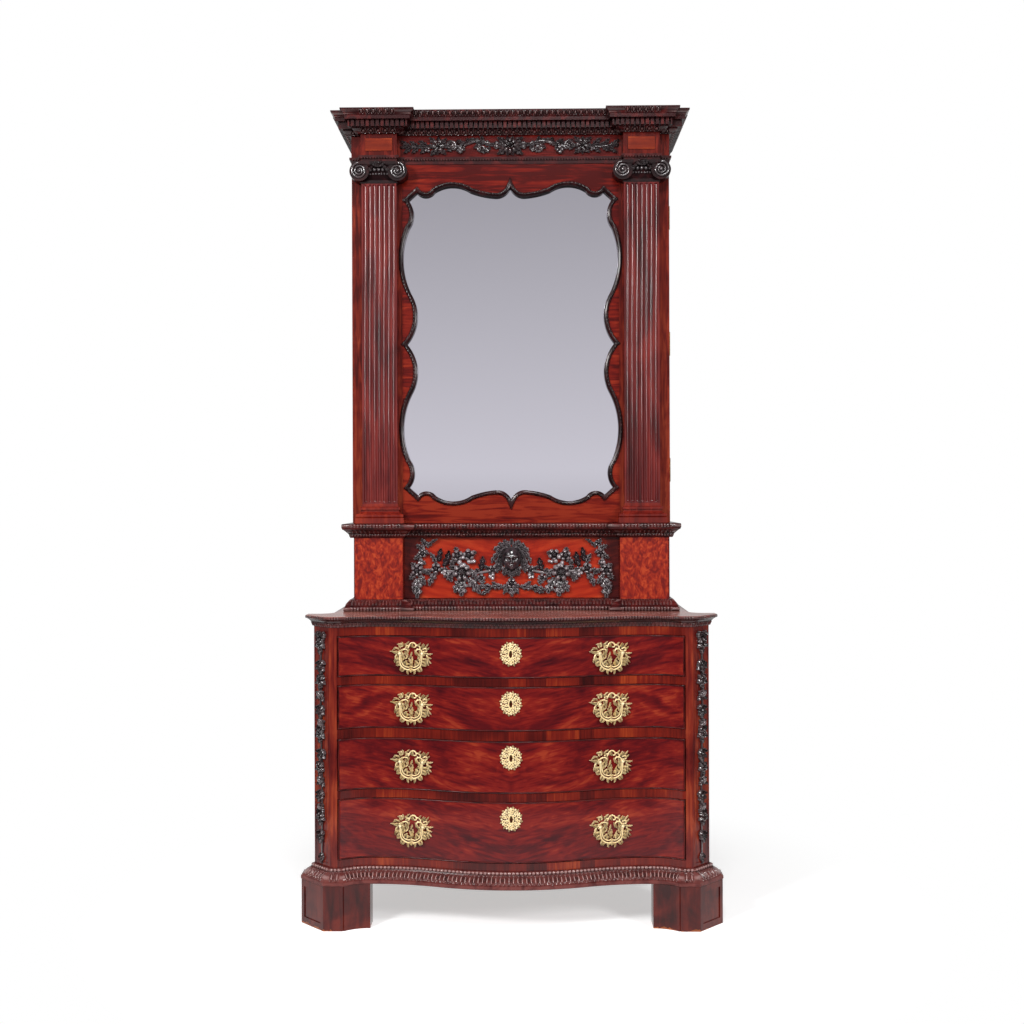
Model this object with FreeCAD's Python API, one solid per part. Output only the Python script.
import FreeCAD, Part
import math
import os

# Cabinet on chest in mahogany: a serpentine chest of four drawers on block feet, a pedestal stage with a
# carved drawer, and a cabinet with one mirrored door under an entablature.
# Millimetres, +Z up, the front faces -Y. The origin is on the floor under the middle of the object.

# Chest plan, at the face of the case
case_depth = 657.0
bulge_rise = 35.0
hollow_sink = 28.0
side_half = 525.0
post_out = 22.0
hollow_end_in = 10.0
hollow_run = 90.0
cant_leg = 56.0
post_return = 4.0
return_radius = 70.0

# Chest heights, from the floor up
foot_height = 133.0
base_height = 45.0
bottom_rail_height = 23.0
drawer_4_height = 184.0
rail_3_4_height = 24.0
drawer_3_height = 158.0
rail_2_3_height = 28.0
drawer_2_height = 134.0
rail_1_2_height = 24.0
drawer_1_height = 124.0
top_rail_height = 26.0
top_thickness = 34.0

# Chest boards and overhangs
base_overhang = 40.0
top_overhang = 25.0
side_thickness = 18.0
back_thickness = 12.0
bottom_thickness = 18.0
dustboard_thickness = 12.0
rail_depth = 45.0
base_frame_width = 45.0
foot_setback = 2.0
foot_wing_depth = 60.0
foot_side_length = 190.0
foot_wall = 45.0
foot_panel_width = 84.0
foot_panel_margin = 20.0
foot_panel_sink = 3.0
foot_quirk = 5.0
rear_foot_length = 120.0
rear_foot_wall = 40.0

# Drawers
front_thickness = 24.0
front_gap = 1.0
front_end_gap = 2.5
run_gap = 0.3
drawer_side_thickness = 12.0
drawer_side_gap = 1.5
drawer_back_thickness = 12.0
drawer_bottom_thickness = 8.0
drawer_bottom_rise = 10.0
drawer_rear_space = 48.0
drawer_side_drop = 6.0

# Drawer handles and locks
handle_in = 125.0
plate_thickness = 2.0
plate_seat_gap = 0.1
plate_half_width = 63.5
plate_lobe_radius = 22.5
plate_body_radius = 30.0
plate_crest_radius = 13.0
plate_half_height = 48.5
plate_apron_radius = 17.0
plate_apron_x = 14.0
plate_hole_radius = 5.5
post_spacing = 70.0
post_radius = 4.5
post_length = 16.0
pivot_out = 11.0
pivot_rise = 8.0
pin_radius = 2.0
pin_clearance = 0.08
bail_wire_radius = 3.0
bail_half_width = 46.0
bail_drop = 44.0
bail_corner_radius = 28.0
bail_boss_radius = 5.0
bail_knob_radius = 3.6
key_plate_radius = 32.0
key_plate_crest = 14.0
key_plate_half_height = 37.0
key_drop = 45.0
key_radius = 3.4
key_slot_width = 4.0
key_slot_drop = 16.0
lock_width = 70.0
lock_height = 62.0
lock_inset = 12.0
lock_depth = 16.0
bolt_width = 18.0
bolt_thickness = 6.0
bolt_length = 28.0
bolt_throw = 8.0
bolt_gap = 0.4

# Cabinet plan
cabinet_depth = 410.0
cabinet_set_in = 19.0
cabinet_board = 18.0
cabinet_back_thickness = 12.0
break_out = 27.0
pedestal_set_in = 10.0
pedestal_width = 152.0
entablature_break_in = 33.0
entablature_break_width = 115.0
frieze_tablet_margin = 15.0
frieze_tablet_rise = 2.0

# Cabinet heights, from the chest top up
plinth_height = 35.0
pedestal_height = 195.0
waist_height = 44.0
door_gap = 1.5
door_height = 1141.0
architrave_height = 22.0
frieze_height = 69.0
bed_height = 14.0
dentil_height = 21.0
corona_height = 11.0
cyma_height = 20.0
roof_drop = 18.0

# Cabinet overhangs
plinth_overhang = 37.0
plinth_side_overhang = 21.0
waist_overhang = 40.0
waist_side_overhang = 26.0
architrave_overhang = 6.0
bed_overhang = 24.0
dentil_overhang = 36.0
dentil_pitch = 15.4
dentil_space = 5.0
dentil_depth = 9.0
corona_overhang = 45.0
cornice_overhang = 58.0

# Pedestal drawer
panel_sink = 12.0
panel_thickness = 22.0
plinth_drawer_rear_space = 34.0
mask_radius = 62.0
mask_rise = 26.0
swag_radius = 42.0
swag_rise = 16.0
swag_end = 105.0

# Shelves
shelf_count = 3
shelf_thickness = 18.0
shelf_setback = 36.0
shelf_gap = 0.5
cleat_height = 20.0
cleat_thickness = 14.0

# Door
door_thickness = 26.0
door_side_gap = 1.0
door_back_gap = 1.5
rail_joint_share = 0.858
sight_width = 14.0
sight_lap = 8.0
sight_rise = 7.0
glass_sink = 14.0
glass_thickness = 5.0
glass_lap = 14.0
glass_board_thickness = 6.0
mirror_end_margin = 69.5
mirror_side_margin = 74.0

# Pilasters
pilaster_in = 91.0
shaft_width = 111.0
flute_count = 7
flute_pitch = 15.0
flute_radius = 5.2
flute_end = 8.0
plinth_block_width = 153.0
plinth_block_out = 45.0
plinth_block_height = 17.0
torus_width = 150.0
torus_out = 44.0
torus_round = 3.0
neck_width = 124.0
neck_out = 32.0
neck_fillet = 2.0
pilaster_base_height = 62.0
shaft_reveal = 1.0
capital_height = 65.0
astragal_height = 12.0
astragal_out = 4.0
bell_flare = 12.0
volute_radius = 31.0
volute_spacing = 120.0
volute_out = 47.0
abacus_width = 164.0
abacus_out = 50.0
abacus_height = 15.0
abacus_chamfer = 5.0

# Door hinges and lock
hinge_count = 3
hinge_height = 75.0
hinge_end = 130.0
hinge_leaf = 2.0
knuckle_radius = 3.5
knuckle_gap = 0.3
hinge_pin_radius = 1.5
hinge_pin_out = 0.5
door_lock_width = 60.0
door_lock_height = 72.0
door_lock_depth = 14.0
door_lock_gap = 5.0
door_lock_lowered = 12.0

# Cutters reach past the faces that they open
cut_over = 1.0

V = FreeCAD.Vector
SQRT2 = math.sqrt(2.0)

# Places worked out from the sizes above
hollow_end_x = side_half - hollow_end_in
hollow_x = hollow_end_x - hollow_run
handle_x = hollow_x - handle_in
stile_x = side_half + post_out
back_y = (case_depth + base_overhang) / 2.0
bulge_y = back_y - case_depth
flat_y = bulge_y + bulge_rise
hollow_y = flat_y + hollow_sink
wave = bulge_rise + hollow_sink
wave_radius = (hollow_x ** 2 + wave ** 2) / (4.0 * wave)
end_radius = ((hollow_end_x - hollow_x) ** 2 + hollow_sink ** 2) / (2.0 * hollow_sink)
cant_x = stile_x + cant_leg
cant_y = flat_y + cant_leg
return_y = cant_y + post_return
inner_half = side_half - side_thickness
front_back_run = math.sqrt((end_radius + front_thickness) ** 2 - (inner_half - hollow_x) ** 2)
side_front_y = hollow_y - end_radius + front_back_run + front_gap
rail_back_y = hollow_y + rail_depth
chest_inner_back_y = back_y - back_thickness

case_z = foot_height + base_height
drawer_4_z = case_z + bottom_rail_height
drawer_3_z = drawer_4_z + drawer_4_height + rail_3_4_height
drawer_2_z = drawer_3_z + drawer_3_height + rail_2_3_height
drawer_1_z = drawer_2_z + drawer_2_height + rail_1_2_height
case_top_z = drawer_1_z + drawer_1_height + top_rail_height
chest_top_z = case_top_z + top_thickness
drawers = (
    (1, drawer_1_z, drawer_1_height, top_rail_height),
    (2, drawer_2_z, drawer_2_height, rail_1_2_height),
    (3, drawer_3_z, drawer_3_height, rail_2_3_height),
    (4, drawer_4_z, drawer_4_height, rail_3_4_height),
)

pedestal_z = chest_top_z + plinth_height
waist_z = pedestal_z + pedestal_height
floor_z = waist_z + waist_height
door_z = floor_z + door_gap
door_top_z = door_z + door_height
architrave_z = door_top_z + door_gap
frieze_z = architrave_z + architrave_height
bed_z = frieze_z + frieze_height
dentil_z = bed_z + bed_height
corona_z = dentil_z + dentil_height
cyma_z = corona_z + corona_height
top_z = cyma_z + cyma_height

door_y = back_y - cabinet_depth
door_back_y = door_y + door_thickness
cabinet_front_y = door_back_y + door_back_gap
cabinet_half = side_half - cabinet_set_in
cabinet_inner_half = cabinet_half - cabinet_board
cabinet_inner_back_y = back_y - cabinet_back_thickness
pedestal_outer_x = cabinet_half - pedestal_set_in
pedestal_inner_x = pedestal_outer_x - pedestal_width
entablature_outer_x = cabinet_half - entablature_break_in
entablature_inner_x = entablature_outer_x - entablature_break_width
swag_spacing = (pedestal_inner_x - swag_end) / 2.0
door_half = cabinet_half - door_side_gap
door_mid_z = door_z + door_height / 2.0
pilaster_x = cabinet_half - pilaster_in
mirror_half_width = pilaster_x - mirror_side_margin
mirror_half_height = door_height / 2.0 - mirror_end_margin
rail_joint_x = mirror_half_width * rail_joint_share
glass_y = door_y + glass_sink
hinge_x = cabinet_half + hinge_pin_out
hinge_y = door_back_y + door_back_gap / 2.0


def save(name, *solids):
    """Write one node, a single solid or a group of separate solids."""
    shape = solids[0] if len(solids) == 1 else Part.makeCompound(list(solids))
    shape.exportStep(os.path.join("parts", name + ".step"))


def box(x0, x1, y0, y1, z0, z1):
    """Box between two corners."""
    return Part.makeBox(x1 - x0, y1 - y0, z1 - z0, V(x0, y0, z0))


def mirror_x(shape):
    """Copy of a shape on the other side of the middle plane."""
    return shape.mirror(V(0, 0, 0), V(1, 0, 0))


def pair(shape):
    """A shape and its mirror image."""
    return shape, mirror_x(shape)


def mirrored(segments):
    """Mirror a run of segments across X and reverse it."""
    return [tuple(V(-p.x, p.y, p.z) for p in reversed(s)) for s in reversed(segments)]


def polyline(points):
    """Straight segments through points."""
    return list(zip(points[:-1], points[1:]))


def wire(segments, z=0.0):
    """Closed wire of straight (two points) and round (three points) segments at a height."""
    lift = V(0, 0, z)
    edges = []
    for s in segments:
        points = [p + lift for p in s]
        curve = Part.LineSegment(*points) if len(points) == 2 else Part.Arc(*points)
        edges.append(curve.toShape())
    return Part.Wire(edges)


def prism(segments, z0, z1):
    """Upright solid over a closed outline."""
    return Part.Face(wire(segments, z0)).extrude(V(0, 0, z1 - z0))


def whole(half):
    """Closed outline from its right half, which starts and ends on the middle plane."""
    return half + mirrored(half)


def serpentine(offset, end_x):
    """Right half of the front, moved out by an offset, from the middle to a place on the flat stile."""
    bulge_centre = V(0, bulge_y + wave_radius, 0)
    hollow_centre = V(hollow_x, hollow_y - wave_radius, 0)
    end_centre = V(hollow_x, hollow_y - end_radius, 0)
    toward = (hollow_centre - bulge_centre).normalize()
    turn = math.atan2(toward.x, -toward.y)
    half_turn = V(math.sin(turn / 2.0), -math.cos(turn / 2.0), 0)
    out_r = wave_radius + offset
    in_r = wave_radius - offset
    end_r = end_radius - offset
    end_turn = math.acos((end_r - hollow_sink) / end_r)
    start = V(0, bulge_y - offset, 0)
    meet = bulge_centre + toward * out_r
    deep = V(hollow_x, hollow_y - offset, 0)
    kink = end_centre + V(math.sin(end_turn), math.cos(end_turn), 0) * end_r
    end_mid = end_centre + V(math.sin(end_turn / 2.0), math.cos(end_turn / 2.0), 0) * end_r
    return [
        (start, bulge_centre + half_turn * out_r, meet),
        (meet, hollow_centre - half_turn * in_r, deep),
        (deep, end_mid, kink),
        (kink, V(end_x, flat_y - offset, 0)),
    ]


def front_at(x):
    """Place and slope of the drawer front's face on the inner side of a hollow."""
    run = hollow_x - abs(x)
    drop = math.sqrt(wave_radius ** 2 - run ** 2)
    slope = math.copysign(math.asin(run / wave_radius), x)
    return hollow_y - wave_radius + drop, slope


def chest_plan(offset):
    """Closed outline of the chest, moved out by an offset everywhere but at the back."""
    miter = offset * (SQRT2 - 1.0)
    sweep_r = return_radius - offset
    sweep_centre = V(side_half + return_radius, return_y + return_radius, 0)
    stile = V(stile_x + miter, flat_y - offset, 0)
    sweep_end = sweep_centre + V(-sweep_r, 0, 0)
    sweep_start = sweep_centre + V(0, -sweep_r, 0)
    sweep_mid = sweep_centre - V(sweep_r / SQRT2, sweep_r / SQRT2, 0)
    half = serpentine(offset, stile.x)
    half += polyline([
        stile,
        V(cant_x + offset, cant_y - miter, 0),
        V(cant_x + offset, return_y + offset, 0),
        sweep_start,
    ])
    half.append((sweep_start, sweep_mid, sweep_end))
    half += polyline([sweep_end, V(side_half + offset, back_y, 0), V(0, back_y, 0)])
    return whole(half)


def chest_moulding(profile):
    """Solid whose outline follows the chest's plan at each height and overhang of a profile."""
    return Part.makeLoft([wire(chest_plan(out), z) for z, out in profile], True, True)


def stage_plan(offset, side_offset):
    """Closed outline of the pedestal stage, which breaks forward over each pedestal to the corner."""
    main_y = door_y - offset
    break_y = main_y - break_out
    inner_x = pedestal_inner_x - offset
    edge_x = cabinet_half + side_offset
    return whole(polyline([
        V(0, main_y, 0),
        V(inner_x, main_y, 0),
        V(inner_x, break_y, 0),
        V(edge_x, break_y, 0),
        V(edge_x, back_y, 0),
        V(0, back_y, 0),
    ]))


def entablature_corners(offset):
    """Right half of the entablature's outline, which breaks forward over each pilaster."""
    main_y = door_y - offset
    break_y = main_y - break_out
    edge_x = cabinet_half + offset
    return [
        V(0, main_y, 0),
        V(entablature_inner_x - offset, main_y, 0),
        V(entablature_inner_x - offset, break_y, 0),
        V(entablature_outer_x + offset, break_y, 0),
        V(entablature_outer_x + offset, main_y, 0),
        V(edge_x, main_y, 0),
        V(edge_x, back_y, 0),
        V(0, back_y, 0),
    ]


def entablature_plan(offset):
    """Closed outline of the entablature, moved out by an offset everywhere but at the back."""
    return whole(polyline(entablature_corners(offset)))


def planted(solid, z0, z1):
    """Cut away the room of the cabinet case, so that a moulding sits against its front and sides."""
    return solid.cut(box(-cabinet_half, cabinet_half, cabinet_front_y, back_y, z0, z1))


def rect_loft(x, profile):
    """Solid that stands on the door's face with a half width and a projection at each height."""
    wires = []
    for z, half_width, out in profile:
        corners = [
            V(x - half_width, door_y, 0),
            V(x - half_width, door_y - out, 0),
            V(x + half_width, door_y - out, 0),
            V(x + half_width, door_y, 0),
        ]
        wires.append(wire(polyline(corners + corners[:1]), z))
    return Part.makeLoft(wires, True, True)


def chest_case():
    """Sides, back, bottom, posts, rails and dustboards."""
    side = box(inner_half, side_half, side_front_y, chest_inner_back_y, case_z, case_top_z)
    save("chest_sides", *pair(side))
    save("chest_back", box(-side_half, side_half, chest_inner_back_y, back_y, case_z, case_top_z))
    inside = (-inner_half, inner_half, rail_back_y, chest_inner_back_y)
    save("chest_bottom", box(*inside, drawer_4_z - bottom_thickness, drawer_4_z))
    boards = [box(*inside, z - dustboard_thickness, z) for _, z, _, _ in drawers[:3]]
    save("dustboards", *boards)

    sweep_centre = V(side_half + return_radius, return_y + return_radius, 0)
    sweep_mid = sweep_centre - V(return_radius / SQRT2, return_radius / SQRT2, 0)
    sweep_start = V(sweep_centre.x, return_y, 0)
    sweep_end = V(side_half, sweep_centre.y, 0)
    front_corner = V(side_half, flat_y, 0)
    post = polyline([
        front_corner,
        V(stile_x, flat_y, 0),
        V(cant_x, cant_y, 0),
        V(cant_x, return_y, 0),
        sweep_start,
    ])
    post.append((sweep_start, sweep_mid, sweep_end))
    post.append((sweep_end, front_corner))
    save("corner_posts", *pair(prism(post, case_z, case_top_z)))

    half = serpentine(0.0, side_half)
    half += polyline([
        V(side_half, flat_y, 0),
        V(side_half, side_front_y, 0),
        V(inner_half, side_front_y, 0),
        V(inner_half, rail_back_y, 0),
        V(0, rail_back_y, 0),
    ])
    rail_plan = whole(half)
    rails = [prism(rail_plan, case_z, drawer_4_z)]
    for _, z, height, rail_height in drawers:
        rail_z = z + height
        mortise = box(
            -bolt_width / 2.0 - bolt_gap, bolt_width / 2.0 + bolt_gap,
            bolt_y() - bolt_gap, bolt_y() + bolt_thickness + bolt_gap,
            rail_z, rail_z + bolt_throw + front_gap,
        )
        rails.append(prism(rail_plan, rail_z, rail_z + rail_height).cut(mortise))
    save("drawer_rails", *rails)


def bolt_y():
    """Front face of a drawer's lock bolt."""
    return bulge_y + lock_inset + (lock_depth - bolt_thickness) / 2.0


def chest_mouldings():
    """Top board with its nosing and the frame under the case."""
    top = chest_moulding([
        (case_top_z, top_overhang * 0.06),
        (case_top_z + top_thickness * 0.08, top_overhang * 0.12),
        (case_top_z + top_thickness * 0.28, top_overhang * 0.22),
        (case_top_z + top_thickness * 0.38, top_overhang * 0.3),
        (case_top_z + top_thickness * 0.56, top_overhang * 0.52),
        (case_top_z + top_thickness * 0.7, top_overhang * 0.8),
        (case_top_z + top_thickness * 0.76, top_overhang),
        (case_top_z + top_thickness * 0.92, top_overhang),
        (chest_top_z, top_overhang * 0.88),
    ])
    save("chest_top", top)

    base = chest_moulding([
        (foot_height, base_overhang * 0.94),
        (foot_height + base_height * 0.05, base_overhang),
        (foot_height + base_height * 0.24, base_overhang),
        (foot_height + base_height * 0.28, base_overhang * 0.9),
        (foot_height + base_height * 0.46, base_overhang * 0.7),
        (foot_height + base_height * 0.62, base_overhang * 0.44),
        (foot_height + base_height * 0.74, base_overhang * 0.25),
        (foot_height + base_height * 0.84, base_overhang * 0.18),
        (foot_height + base_height * 0.93, base_overhang * 0.18),
        (case_z, base_overhang * 0.08),
    ])
    hole_half = side_half - base_frame_width
    well = box(
        -hole_half, hole_half, rail_back_y, back_y - base_frame_width, foot_height, case_z
    )
    save("base_moulding", base.cut(well))


def feet():
    """Front block feet with panelled cants and a quirk beside each hollow, and plain rear brackets."""
    out = base_overhang - foot_setback
    block = prism(chest_plan(out), 0.0, foot_height)
    far_x = cant_x + 2.0 * base_overhang
    side_y = flat_y + foot_side_length
    block = block.common(box(hollow_x, far_x, bulge_y - 2.0 * base_overhang, side_y, 0.0, foot_height))
    wall_x = side_half + out - foot_wall
    block = block.cut(box(0.0, wall_x, hollow_y - out + foot_wing_depth, side_y, 0.0, foot_height))
    cant_mid_x = (stile_x + cant_x + out * SQRT2) / 2.0
    cant_mid_y = (flat_y + cant_y - out * SQRT2) / 2.0
    panel = box(
        -foot_panel_width / 2.0, foot_panel_width / 2.0, -foot_panel_sink, foot_panel_sink,
        foot_panel_margin, foot_height - foot_panel_margin,
    )
    panel.rotate(V(0, 0, 0), V(0, 0, 1), 45.0)
    panel.translate(V(cant_mid_x, cant_mid_y, 0))
    kink = serpentine(out, side_half)[-1][0]
    quirk = box(-foot_quirk / 2.0, foot_quirk / 2.0, -foot_quirk / 2.0, foot_quirk / 2.0, 0.0, foot_height)
    quirk.rotate(V(0, 0, 0), V(0, 0, 1), 45.0)
    quirk.translate(kink)
    front = block.cut(panel).cut(quirk)
    rear_x = side_half + out
    rear = box(rear_x - rear_foot_length, rear_x, back_y - rear_foot_length, back_y, 0.0, foot_height)
    rear = rear.cut(box(
        rear_x - rear_foot_length, rear_x - rear_foot_wall,
        back_y - rear_foot_length, back_y - rear_foot_wall, 0.0, foot_height,
    ))
    save("feet", *pair(front), *pair(rear))


def layer(outer_offset, inner_offset, end_x):
    """Closed outline of a layer along the front between two offsets."""
    outer = serpentine(outer_offset, end_x)
    inner = serpentine(inner_offset, end_x)
    half = outer + [(outer[-1][-1], inner[-1][-1])]
    back = [tuple(reversed(s)) for s in reversed(inner)]
    return mirrored(half) + half + back + mirrored(back)


def skin(z0, z1, thickness):
    """Thin layer over the drawer fronts' face between two heights."""
    return prism(layer(thickness, plate_seat_gap, side_half), z0, z1)


def discs(x, z, circles, y0, y1):
    """Union of round plates along Y, each a local X, a local Z and a radius."""
    shapes = [Part.makeCylinder(r, y1 - y0, V(x + cx, y0, z + cz), V(0, 1, 0)) for cx, cz, r in circles]
    return shapes[0].fuse(shapes[1:]).removeSplitter()


def keyhole(x, z, y0, y1):
    """Keyhole through along Y."""
    hole = Part.makeCylinder(key_radius, y1 - y0, V(x, y0, z), V(0, 1, 0))
    slot = box(x - key_slot_width / 2.0, x + key_slot_width / 2.0, y0, y1, z - key_slot_drop, z)
    return hole.fuse(slot)


def place_on_front(shape, x, z):
    """Set a shape made at the origin, facing -Y, against the drawer front at a place."""
    y, slope = front_at(x)
    placed = shape.copy()
    placed.rotate(V(0, 0, 0), V(0, 0, 1), math.degrees(slope))
    placed.translate(V(x, y, z))
    return placed


def handle_plate(x, z, z0, z1):
    """Pierced backplate bent to the drawer front, with the two bored posts of its bail."""
    lobe_x = plate_half_width - plate_lobe_radius
    crest_z = plate_half_height - plate_crest_radius
    apron_z = plate_apron_radius - plate_half_height
    outline = discs(x, z, (
        (0.0, pivot_rise, plate_body_radius),
        (-lobe_x, pivot_rise, plate_lobe_radius),
        (lobe_x, pivot_rise, plate_lobe_radius),
        (0.0, crest_z, plate_crest_radius),
        (-plate_apron_x, apron_z, plate_apron_radius),
        (plate_apron_x, apron_z, plate_apron_radius),
    ), bulge_y - plate_half_width, hollow_y)
    holes = discs(x, z, (
        (-plate_body_radius / 2.0, pivot_rise + plate_hole_radius, plate_hole_radius),
        (plate_body_radius / 2.0, pivot_rise + plate_hole_radius, plate_hole_radius),
        (0.0, crest_z - plate_hole_radius, plate_hole_radius),
        (-plate_apron_x, apron_z, plate_hole_radius),
        (plate_apron_x, apron_z, plate_hole_radius),
    ), bulge_y - plate_half_width, hollow_y)
    plate = outline.cut(holes).common(skin(z0, z1, plate_thickness))
    for side in (-1.0, 1.0):
        post_x = side * post_spacing / 2.0
        post = Part.makeCylinder(post_radius, post_length, V(post_x, 0, pivot_rise), V(0, -1, 0))
        bore = Part.makeCylinder(
            pin_radius + pin_clearance, 2.0 * post_radius,
            V(post_x - post_radius, -pivot_out, pivot_rise), V(1, 0, 0),
        )
        face = skin(z0, z1, post_length + plate_thickness)
        plate = plate.fuse(place_on_front(post.cut(bore), x, z).common(face))
    return plate.removeSplitter()


def bail():
    """Hanging bail at the origin of a handle, with pins that turn in the posts."""
    pivot_y = -pivot_out
    corner_x = bail_half_width - bail_corner_radius
    low_z = pivot_rise - bail_drop
    corner_z = low_z + bail_corner_radius
    pin_start = post_spacing / 2.0 - post_radius
    pin_length = bail_half_width - pin_start
    bar = Part.makeCylinder(bail_wire_radius, 2.0 * corner_x, V(-corner_x, pivot_y, low_z), V(1, 0, 0))
    pieces = [Part.makeSphere(bail_boss_radius, V(0, pivot_y, low_z), V(1, 0, 0))]
    for side in (-1.0, 1.0):
        end = V(side * bail_half_width, pivot_y, corner_z)
        section = Part.Face(Part.Wire(Part.makeCircle(bail_wire_radius, end, V(0, 0, 1))))
        pieces.append(section.revolve(V(side * corner_x, pivot_y, corner_z), V(0, side, 0), 90.0))
        pieces.append(Part.makeCylinder(bail_wire_radius, pivot_rise - corner_z, end))
        top = V(end.x, pivot_y, pivot_rise)
        pieces.append(Part.makeSphere(bail_knob_radius, top))
        pin = V(side * pin_start, pivot_y, pivot_rise)
        pieces.append(Part.makeCylinder(pin_radius, pin_length, pin, V(side, 0, 0)))
    return bar.fuse(pieces).removeSplitter()


def drawer(number, z, height):
    """Shaped front, box, lock with its bolt and key plate, and two handles."""
    z0 = z + front_gap
    z1 = z + height - front_gap
    shell = layer(0.0, -front_thickness, side_half - front_end_gap)
    key_z = z1 - key_drop
    lock_y = bulge_y + lock_inset
    pocket = box(-lock_width / 2.0, lock_width / 2.0, lock_y, lock_y + lock_depth, z1 - lock_height, z1)
    front = prism(shell, z0, z1).cut(pocket).cut(keyhole(0.0, key_z, bulge_y - cut_over, lock_y))
    save("drawer_%d_front" % number, front)

    side_out = inner_half - drawer_side_gap
    side_in = side_out - drawer_side_thickness
    rear_y = chest_inner_back_y - drawer_rear_space
    rear_in_y = rear_y - drawer_back_thickness
    side_z0 = z + run_gap
    side_z1 = z1 - drawer_side_drop
    end_y = flat_y + front_thickness
    side = box(side_in, side_out, end_y - hollow_sink, rear_y, side_z0, side_z1).cut(front_room(z0, z1))
    back = box(-side_in, side_in, rear_in_y, rear_y, side_z0, side_z1)
    floor_z0 = z + drawer_bottom_rise
    floor_z1 = floor_z0 + drawer_bottom_thickness
    floor = box(-side_in, side_in, bulge_y, rear_in_y, floor_z0, floor_z1).cut(front_room(z0, z1))
    floor = floor.cut(pocket)
    save("drawer_%d_box" % number, *pair(side), back, floor)

    bolt = box(
        -bolt_width / 2.0, bolt_width / 2.0, bolt_y(), bolt_y() + bolt_thickness,
        z1 - bolt_length, z1,
    )
    channel = box(
        -bolt_width / 2.0 - bolt_gap, bolt_width / 2.0 + bolt_gap,
        bolt_y() - bolt_gap, bolt_y() + bolt_thickness + bolt_gap, z1 - bolt_length, z1,
    )
    key_plate = discs(0.0, key_z, (
        (0.0, 0.0, key_plate_radius),
        (0.0, key_plate_half_height - key_plate_crest, key_plate_crest),
        (0.0, key_plate_crest - key_plate_half_height, key_plate_crest),
    ), bulge_y - plate_half_width, hollow_y)
    key_plate = key_plate.common(skin(z0, z1, plate_thickness))
    key_plate = key_plate.cut(keyhole(0.0, key_z, bulge_y - plate_half_width, hollow_y))
    save("drawer_%d_lock" % number, pocket.cut(channel), key_plate)
    save("drawer_%d_bolt" % number, bolt)

    mid_z = z + height / 2.0
    plates = [handle_plate(x, mid_z, z0, z1) for x in (-handle_x, handle_x)]
    save("drawer_%d_plates" % number, *plates)
    right_bail, left_bail = pair(place_on_front(bail(), handle_x, mid_z))
    save("drawer_%d_bail_left" % number, left_bail)
    save("drawer_%d_bail_right" % number, right_bail)


def front_room(z0, z1):
    """Room before the inner face of a drawer front."""
    inner = serpentine(-front_thickness, side_half)
    far_y = bulge_y - front_thickness
    half = inner + polyline([inner[-1][-1], V(side_half, far_y, 0), V(0, far_y, 0)])
    return prism(whole(half), z0 - front_gap, z1)


def pedestal_stage():
    """Base moulding, pedestals, guides, carved drawer and waist moulding."""
    plinth = []
    for rise, share in ((0.0, 0.93), (0.08, 1.0), (0.32, 1.0), (0.38, 0.8), (0.46, 0.8),
                        (0.62, 0.62), (0.8, 0.38), (0.94, 0.2), (1.0, 0.1)):
        outline = stage_plan(plinth_overhang * share, plinth_side_overhang * share)
        plinth.append(wire(outline, chest_top_z + plinth_height * rise))
    save("plinth_moulding", planted(Part.makeLoft(plinth, True, True), chest_top_z, pedestal_z))

    waist = []
    for rise, share in ((0.0, 0.1), (0.1, 0.2), (0.26, 0.26), (0.46, 0.58), (0.56, 0.76),
                        (0.62, 0.92), (0.76, 1.0), (0.94, 1.0), (1.0, 0.95)):
        outline = stage_plan(waist_overhang * share, waist_side_overhang * share)
        waist.append(wire(outline, waist_z + waist_height * rise))
    save("waist_moulding", planted(Part.makeLoft(waist, True, True), waist_z, floor_z))

    break_y = door_y - break_out
    block = box(pedestal_inner_x, pedestal_outer_x, break_y, cabinet_front_y, pedestal_z, waist_z)
    save("pedestals", *pair(block))
    guide = box(
        pedestal_inner_x, pedestal_inner_x + cabinet_back_thickness, cabinet_front_y,
        cabinet_inner_back_y, pedestal_z, floor_z - cabinet_board,
    )
    save("plinth_partitions", *pair(guide))

    panel_half = pedestal_inner_x - front_gap
    panel_y = door_y + panel_sink
    panel_back_y = panel_y + panel_thickness
    panel_z0 = pedestal_z + front_gap
    panel_z1 = waist_z - front_gap
    panel = box(-panel_half, panel_half, panel_y, panel_back_y, panel_z0, panel_z1)
    mid_z = (panel_z0 + panel_z1) / 2.0
    bosses = [boss(0.0, mid_z, mask_radius, mask_rise, panel_y)]
    for step in (-2.0, -1.0, 1.0, 2.0):
        bosses.append(boss(step * swag_spacing, mid_z, swag_radius, swag_rise, panel_y))
    save("plinth_drawer_front", panel.fuse(bosses))

    side_out = panel_half - front_gap
    side_in = side_out - drawer_side_thickness
    rear_y = cabinet_inner_back_y - plinth_drawer_rear_space
    rear_in_y = rear_y - drawer_back_thickness
    side_z0 = pedestal_z + run_gap
    side_z1 = panel_z1 - drawer_side_drop
    floor_z0 = pedestal_z + drawer_bottom_rise
    side = box(side_in, side_out, panel_back_y, rear_y, side_z0, side_z1)
    back = box(-side_in, side_in, rear_in_y, rear_y, side_z0, side_z1)
    tray = box(-side_in, side_in, panel_back_y, rear_in_y, floor_z0, floor_z0 + drawer_bottom_thickness)
    save("plinth_drawer_box", *pair(side), back, tray)


def boss(x, z, radius, rise, face_y):
    """Domed block of a carving on an upright face."""
    ball_r = (radius ** 2 + rise ** 2) / (2.0 * rise)
    ball = Part.makeSphere(ball_r, V(x, face_y - rise + ball_r, z))
    return ball.common(box(x - radius, x + radius, face_y - rise, face_y, z - radius, z + radius))


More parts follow.
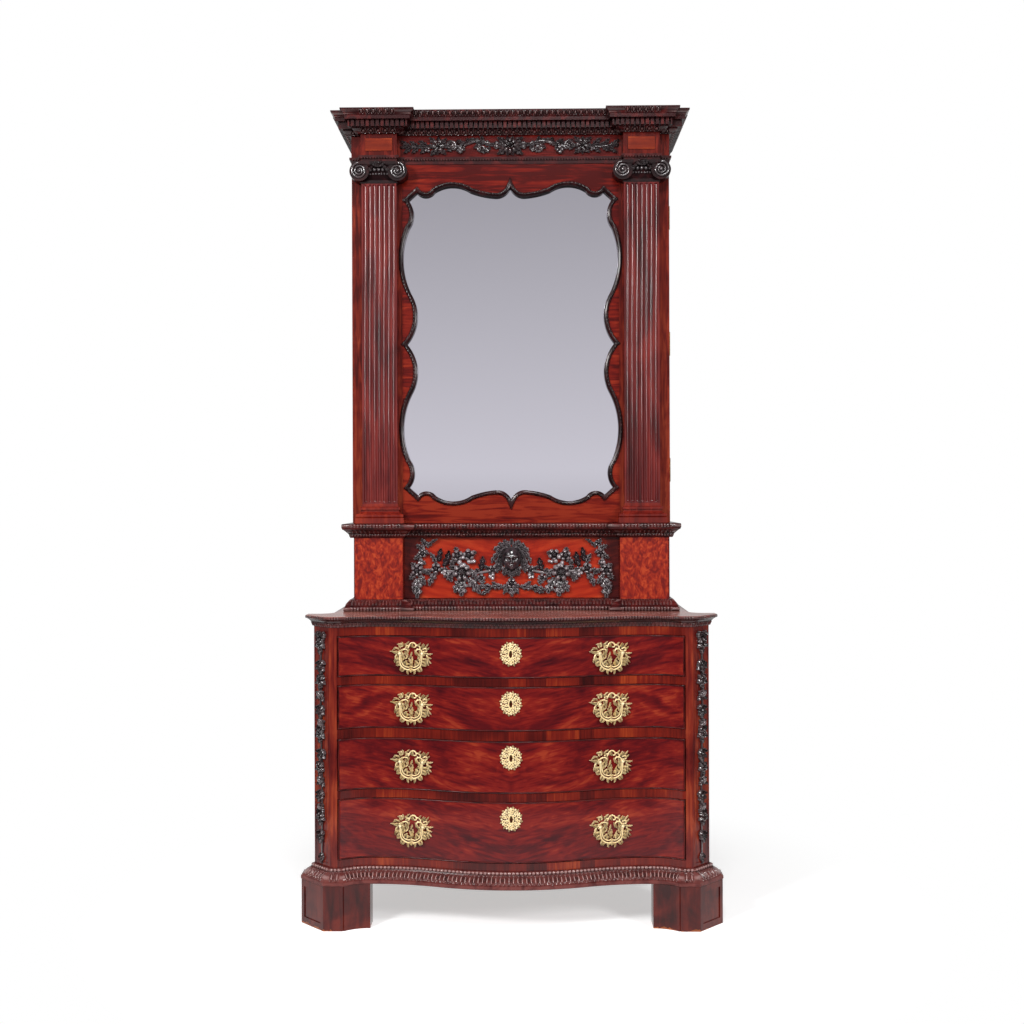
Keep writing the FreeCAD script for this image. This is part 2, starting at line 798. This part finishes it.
def cabinet_case():
    """Sides, back, boards and shelves."""
    side_top_z = cyma_z
    side = box(
        cabinet_inner_half, cabinet_half, cabinet_front_y, cabinet_inner_back_y, chest_top_z, side_top_z
    )
    right, left = pair(side)
    for z in hinge_levels():
        right = right.cut(hinge_room(z, cabinet_front_y, cabinet_front_y + hinge_leaf))
    lock_z = door_mid_z - door_lock_lowered
    keeper_x = cabinet_inner_half + bolt_throw + front_gap
    left = left.cut(box(
        -keeper_x, -cabinet_inner_half, door_bolt_y() - bolt_gap, door_bolt_y() + bolt_thickness + bolt_gap,
        lock_z - bolt_width / 2.0 - bolt_gap, lock_z + bolt_width / 2.0 + bolt_gap,
    ))
    save("cabinet_sides", right, left)
    back = box(-cabinet_half, cabinet_half, cabinet_inner_back_y, back_y, chest_top_z, side_top_z)
    save("cabinet_back", back)
    inside = (-cabinet_inner_half, cabinet_inner_half, cabinet_front_y, cabinet_inner_back_y)
    roof_z = bed_z - roof_drop
    tops = (pedestal_z, floor_z, roof_z + cabinet_board)
    save("cabinet_boards", *[box(*inside, top - cabinet_board, top) for top in tops])

    pieces = []
    shelf_half = cabinet_inner_half - shelf_gap
    shelf_y = cabinet_front_y + shelf_setback
    shelf_back_y = cabinet_inner_back_y - shelf_gap
    room = (roof_z - floor_z) / (shelf_count + 1)
    for index in range(1, shelf_count + 1):
        z = floor_z + room * index
        pieces.append(box(-shelf_half, shelf_half, shelf_y, shelf_back_y, z, z + shelf_thickness))
        cleat = box(
            cabinet_inner_half - cleat_thickness, cabinet_inner_half,
            shelf_y, shelf_back_y, z - cleat_height, z,
        )
        pieces.extend(pair(cleat))
    save("shelves", *pieces)


def toothed(start, end, inward):
    """Points of a dentil run between two corners, cut inward between evenly spaced teeth."""
    run = end - start
    count = max(1, int(round(run.Length / dentil_pitch)))
    along = run * (1.0 / run.Length)
    pitch = run.Length / count
    points = []
    for index in range(count):
        centre = start + along * (pitch * (index + 0.5))
        half_gap = along * (dentil_space / 2.0)
        points.append(centre - half_gap)
        points.append(centre - half_gap + inward)
        points.append(centre + half_gap + inward)
        points.append(centre + half_gap)
    return points


def dentil_plan():
    """Closed outline of the dentil band."""
    corners = entablature_corners(dentil_overhang)
    inward = V(0, dentil_depth, 0)
    points = [corners[0], corners[1]]
    points[1:1] = toothed(corners[0], corners[1], inward)
    points.append(corners[2])
    points += toothed(corners[2], corners[3], inward)
    points += corners[3:6]
    points += toothed(corners[5], corners[6], V(-dentil_depth, 0, 0))
    points += corners[6:]
    return whole(polyline(points))


def entablature():
    """Architrave, frieze with its tablets, and cornice with its dentil band."""
    architrave = Part.makeLoft([
        wire(entablature_plan(0.0), architrave_z),
        wire(entablature_plan(0.0), architrave_z + architrave_height * 0.55),
        wire(entablature_plan(architrave_overhang), architrave_z + architrave_height * 0.7),
        wire(entablature_plan(architrave_overhang), frieze_z),
    ], True, True)
    save("architrave", planted(architrave, architrave_z, frieze_z))

    frieze = planted(prism(entablature_plan(0.0), frieze_z, bed_z), frieze_z, bed_z)
    tablet = box(
        entablature_inner_x + frieze_tablet_margin, entablature_outer_x - frieze_tablet_margin,
        door_y - break_out - frieze_tablet_rise, door_y - break_out,
        frieze_z + frieze_tablet_margin, bed_z - frieze_tablet_margin,
    )
    save("frieze", frieze, *pair(tablet))

    bed = Part.makeLoft([
        wire(entablature_plan(bed_overhang * 0.3), bed_z),
        wire(entablature_plan(bed_overhang * 0.45), bed_z + bed_height * 0.3),
        wire(entablature_plan(bed_overhang), bed_z + bed_height * 0.8),
        wire(entablature_plan(bed_overhang), dentil_z),
    ], True, True)
    band = prism(dentil_plan(), dentil_z, corona_z)
    crown = Part.makeLoft([
        wire(entablature_plan(corona_overhang), corona_z),
        wire(entablature_plan(corona_overhang), cyma_z),
        wire(entablature_plan(cornice_overhang * 0.8), cyma_z + cyma_height * 0.1),
        wire(entablature_plan(cornice_overhang * 0.86), cyma_z + cyma_height * 0.45),
        wire(entablature_plan(cornice_overhang * 0.96), cyma_z + cyma_height * 0.7),
        wire(entablature_plan(cornice_overhang), cyma_z + cyma_height * 0.78),
        wire(entablature_plan(cornice_overhang), top_z),
    ], True, True)
    layers = ((bed, bed_z, dentil_z), (band, dentil_z, corona_z), (crown, corona_z, top_z))
    save("cornice", *[planted(layer, z0, z1) for layer, z0, z1 in layers])


def mirror_quarter():
    """Quarter of the mirror's sight edge from the top to the side, as X and height from its middle."""
    h = mirror_half_height
    w = mirror_half_width
    valley = (w * 0.151, h - w * 0.1006)
    rise = (w * 0.373, h - w * 0.0503)
    top_end = (w * 0.704, h - w * 0.0473)
    notch = (w * 0.873, h - w * 0.0562)
    shoulder = (w - 17.0, h * 0.914)
    side_top = (w - 19.0, h * 0.7385)
    side_low = (w - 26.0, h * 0.3154)
    return [
        ((0.0, h - w * 0.0178), (w * 0.059, h - w * 0.0828), valley),
        (valley, (w * 0.272, h - w * 0.0814), rise),
        (rise, (w * 0.571, h), top_end),
        (top_end, (w * 0.793, h - w * 0.0932), notch),
        (notch, shoulder),
        (shoulder, (w - 33.0, h * 0.832), side_top),
        (side_top, (w, h * 0.591), side_low),
        (side_low, (w - 43.6, h * 0.16), (w - 11.0, 0.0)),
    ]


def outward(segment, point):
    """Outward direction at a point of a segment of the mirror's edge, clockwise seen from the front."""
    chord = (segment[-1] - segment[0]).normalize()
    left = V(-chord.z, 0, chord.x)
    if len(segment) == 2:
        return left
    centre = Part.Arc(*segment).toShape().Curve.Center
    side = math.copysign(1.0, left.dot(segment[1] - centre))
    return (point - centre).normalize() * side


def grown(segments, grow):
    """Closed outline moved out by an amount, with mitred corners."""
    starts = []
    for before, after in zip(segments[-1:] + segments[:-1], segments):
        corner = after[0]
        first = outward(before, corner)
        second = outward(after, corner)
        starts.append(corner + (first + second) * (grow / (1.0 + first.dot(second))))
    moved = []
    for segment, start, end in zip(segments, starts, starts[1:] + starts[:1]):
        middle = [p + outward(segment, p) * grow for p in segment[1:-1]]
        moved.append((start, *middle, end))
    return moved


def mirror_outline():
    """Closed sight edge of the mirror, clockwise seen from the front."""
    upper = mirror_quarter()
    lower = [tuple((u, -v) for u, v in reversed(s)) for s in reversed(upper)]
    right = [tuple(V(u, 0, door_mid_z + v) for u, v in s) for s in upper + lower]
    return right + mirrored(right)


def mirror_prism(grow, y0, y1):
    """Solid inside the sight edge, moved out by an amount, between two depths."""
    face = Part.Face(wire(grown(mirror_outline(), grow)))
    face.translate(V(0, y0, 0))
    return face.extrude(V(0, y1 - y0, 0))


def mirror_ring(grow, y0, y1):
    """Band between the sight edge and the same edge moved out, between two depths."""
    inner = wire(mirror_outline())
    outer = wire(grown(mirror_outline(), grow))
    face = Part.Face([outer, inner])
    face.validate()
    face.translate(V(0, y0, 0))
    return face.extrude(V(0, y1 - y0, 0))


def hinge_levels():
    """Lower ends of the door hinges."""
    first = door_z + hinge_end
    last = door_top_z - hinge_end - hinge_height
    return [first + (last - first) * index / (hinge_count - 1) for index in range(hinge_count)]


def hinge_room(z, y0, y1):
    """Room that a hinge takes out of the door or the case: its leaf and the relief round its knuckles."""
    leaf = box(cabinet_inner_half, hinge_x, y0, y1, z, z + hinge_height)
    relief = Part.makeCylinder(knuckle_radius + knuckle_gap, hinge_height, V(hinge_x, hinge_y, z))
    return leaf.fuse(relief)


def hinges():
    """Case leaves with pins and outer knuckles, and door leaves with middle knuckles."""
    case_leaves = []
    door_leaves = []
    knuckle = hinge_height / 3.0
    leaf_end = hinge_x - knuckle_radius - knuckle_gap
    case_y = (cabinet_front_y, cabinet_front_y + hinge_leaf)
    door_leaf_y = (door_back_y - hinge_leaf, door_back_y)
    for z in hinge_levels():
        leaf = box(cabinet_inner_half, leaf_end, *case_y, z, z + hinge_height)
        pieces = [Part.makeCylinder(hinge_pin_radius, hinge_height, V(hinge_x, hinge_y, z))]
        for low in (z, z + 2.0 * knuckle):
            pieces.append(Part.makeCylinder(knuckle_radius, knuckle, V(hinge_x, hinge_y, low)))
            pieces.append(box(leaf_end, hinge_x, *case_y, low, low + knuckle).common(
                Part.makeCylinder(hinge_x - leaf_end + hinge_leaf, knuckle, V(hinge_x, hinge_y, low))
            ))
        case_leaves.append(leaf.fuse(pieces).removeSplitter())
        low = z + knuckle + knuckle_gap
        length = knuckle - 2.0 * knuckle_gap
        leaf = box(cabinet_inner_half, leaf_end, *door_leaf_y, z, z + hinge_height)
        link = box(leaf_end, hinge_x, *door_leaf_y, low, low + length)
        barrel = Part.makeCylinder(knuckle_radius, length, V(hinge_x, hinge_y, low))
        bore = Part.makeCylinder(hinge_pin_radius + pin_clearance, length, V(hinge_x, hinge_y, low))
        door_leaves.append(leaf.fuse([link, barrel]).cut(bore).removeSplitter())
    save("hinge_case_leaves", *case_leaves)
    save("hinge_door_leaves", *door_leaves)


def door_bolt_y():
    """Front face of the door's lock bolt."""
    return door_back_y + (door_lock_depth - bolt_thickness) / 2.0


def door_lock():
    """Lock case on the back of the left stile and the bolt that it throws into the case side."""
    lock_x = cabinet_inner_half - door_lock_gap
    z = door_mid_z - door_lock_lowered
    case = box(
        -lock_x, door_lock_width - lock_x, door_back_y, door_back_y + door_lock_depth,
        z - door_lock_height / 2.0, z + door_lock_height / 2.0,
    )
    bolt = box(
        -lock_x, bolt_length - lock_x, door_bolt_y(), door_bolt_y() + bolt_thickness,
        z - bolt_width / 2.0, z + bolt_width / 2.0,
    )
    channel = box(
        -lock_x, bolt_length - lock_x, door_bolt_y() - bolt_gap, door_bolt_y() + bolt_thickness + bolt_gap,
        z - bolt_width / 2.0 - bolt_gap, z + bolt_width / 2.0 + bolt_gap,
    )
    save("door_lock", case.cut(channel))
    save("door_bolt", bolt)


def door():
    """Frame of stiles and rails round the shaped mirror, with its sight moulding, plate and backboard."""
    frame_grow = sight_width - sight_lap
    lap_half = mirror_half_width + frame_grow + glass_lap
    lap_height = mirror_half_height + frame_grow + glass_lap
    board = box(-door_half, door_half, door_y, door_back_y, door_z, door_top_z)
    board = board.cut(mirror_prism(frame_grow, door_y - cut_over, door_back_y + cut_over))
    low_z = door_mid_z - lap_height
    high_z = door_mid_z + lap_height
    board = board.cut(box(-lap_half, lap_half, glass_y, door_back_y, low_z, high_z))
    lock_x = cabinet_inner_half - door_lock_gap - door_lock_width / 4.0
    board = board.cut(keyhole(-lock_x, door_mid_z - door_lock_lowered, door_y, door_back_y))
    for z in hinge_levels():
        board = board.cut(hinge_room(z, door_back_y - hinge_leaf, door_back_y))
    zone = (door_y, door_back_y, door_z, door_top_z)
    stiles = [board.common(box(x0, x1, *zone)) for x0, x1 in
              ((-door_half, -rail_joint_x), (rail_joint_x, door_half))]
    rails = [board.common(box(-rail_joint_x, rail_joint_x, door_y, door_back_y, z0, z1)) for z0, z1 in
             ((door_z, door_mid_z), (door_mid_z, door_top_z))]
    save("door_frame", *[solid for piece in stiles + rails for solid in piece.Solids])

    cover = mirror_ring(sight_width, door_y - sight_rise, door_y)
    lining = mirror_ring(frame_grow, door_y, glass_y)
    save("sight_moulding", cover.fuse(lining))
    glass_back_y = glass_y + glass_thickness
    save("mirror_plate", box(-lap_half, lap_half, glass_y, glass_back_y, low_z, high_z))
    board_back_y = glass_back_y + glass_board_thickness
    save("mirror_backboard", box(-lap_half, lap_half, glass_back_y, board_back_y, low_z, high_z))


def flute(x, y, z0, z1):
    """Round-ended groove cutter."""
    shaft = Part.makeCylinder(flute_radius, z1 - z0, V(x, y, z0))
    return shaft.fuse([Part.makeSphere(flute_radius, V(x, y, z)) for z in (z0, z1)])


def pilaster():
    """Fluted shaft and moulded base of the right pilaster."""
    shaft_z0 = door_z + pilaster_base_height
    shaft_z1 = door_top_z - capital_height
    half = shaft_width / 2.0
    face_y = door_y - break_out
    shaft = box(pilaster_x - half, pilaster_x + half, face_y, door_y, shaft_z0, shaft_z1)
    middle = (flute_count - 1) / 2.0
    grooves = []
    for index in range(flute_count):
        x = pilaster_x + (index - middle) * flute_pitch
        grooves.append(flute(x, face_y, shaft_z0 + flute_end, shaft_z1 - flute_end))
    rise = pilaster_base_height - plinth_block_height
    low = door_z + plinth_block_height
    block = box(
        pilaster_x - plinth_block_width / 2.0, pilaster_x + plinth_block_width / 2.0,
        door_y - plinth_block_out, door_y, door_z, low,
    )
    torus = torus_width / 2.0
    neck = neck_width / 2.0
    mouldings = rect_loft(pilaster_x, (
        (low, torus - torus_round, torus_out - torus_round),
        (low + rise * 0.1, torus, torus_out),
        (low + rise * 0.22, torus, torus_out),
        (low + rise * 0.28, torus - torus_round, torus_out - torus_round),
        (low + rise * 0.32, neck + neck_fillet, neck_out + neck_fillet),
        (low + rise * 0.44, neck - neck_fillet, neck_out - neck_fillet),
        (low + rise * 0.54, neck - neck_fillet, neck_out - neck_fillet),
        (low + rise * 0.58, neck + neck_fillet, neck_out + neck_fillet),
        (low + rise * 0.74, neck + neck_fillet, neck_out + neck_fillet),
        (low + rise * 0.8, half + neck_fillet, break_out + neck_fillet),
        (shaft_z0, half + shaft_reveal, break_out + shaft_reveal),
    ))
    return shaft.cut(grooves), block.fuse(mouldings).removeSplitter()


def capital():
    """Scrolled capital of the right pilaster."""
    z0 = door_top_z - capital_height
    abacus_z = door_top_z - abacus_height
    half = shaft_width / 2.0
    bell = rect_loft(pilaster_x, (
        (z0, half + shaft_reveal, break_out + shaft_reveal),
        (z0 + astragal_height * 0.25, half + astragal_out, break_out + astragal_out),
        (z0 + astragal_height * 0.75, half + astragal_out, break_out + astragal_out),
        (z0 + astragal_height, half + shaft_reveal, break_out + shaft_reveal),
        (abacus_z, half + bell_flare, break_out + bell_flare),
    ))
    abacus = rect_loft(pilaster_x, (
        (abacus_z, abacus_width / 2.0 - abacus_chamfer, abacus_out - abacus_chamfer),
        (abacus_z + abacus_height * 0.4, abacus_width / 2.0, abacus_out),
        (door_top_z, abacus_width / 2.0, abacus_out),
    ))
    pieces = [abacus]
    volute_z = abacus_z - volute_radius / 2.0
    for side in (-0.5, 0.5):
        centre = V(pilaster_x + side * volute_spacing, door_y - volute_out, volute_z)
        pieces.append(Part.makeCylinder(volute_radius, volute_out, centre, V(0, 1, 0)))
    return bell.fuse(pieces).removeSplitter()


def main():
    os.makedirs("parts", exist_ok=True)
    chest_case()
    chest_mouldings()
    feet()
    for number, z, height, _ in drawers:
        drawer(number, z, height)
    pedestal_stage()
    cabinet_case()
    entablature()
    door()
    shaft, base = pilaster()
    save("pilasters", *pair(shaft), *pair(base))
    save("capitals", *pair(capital()))
    hinges()
    door_lock()


main()
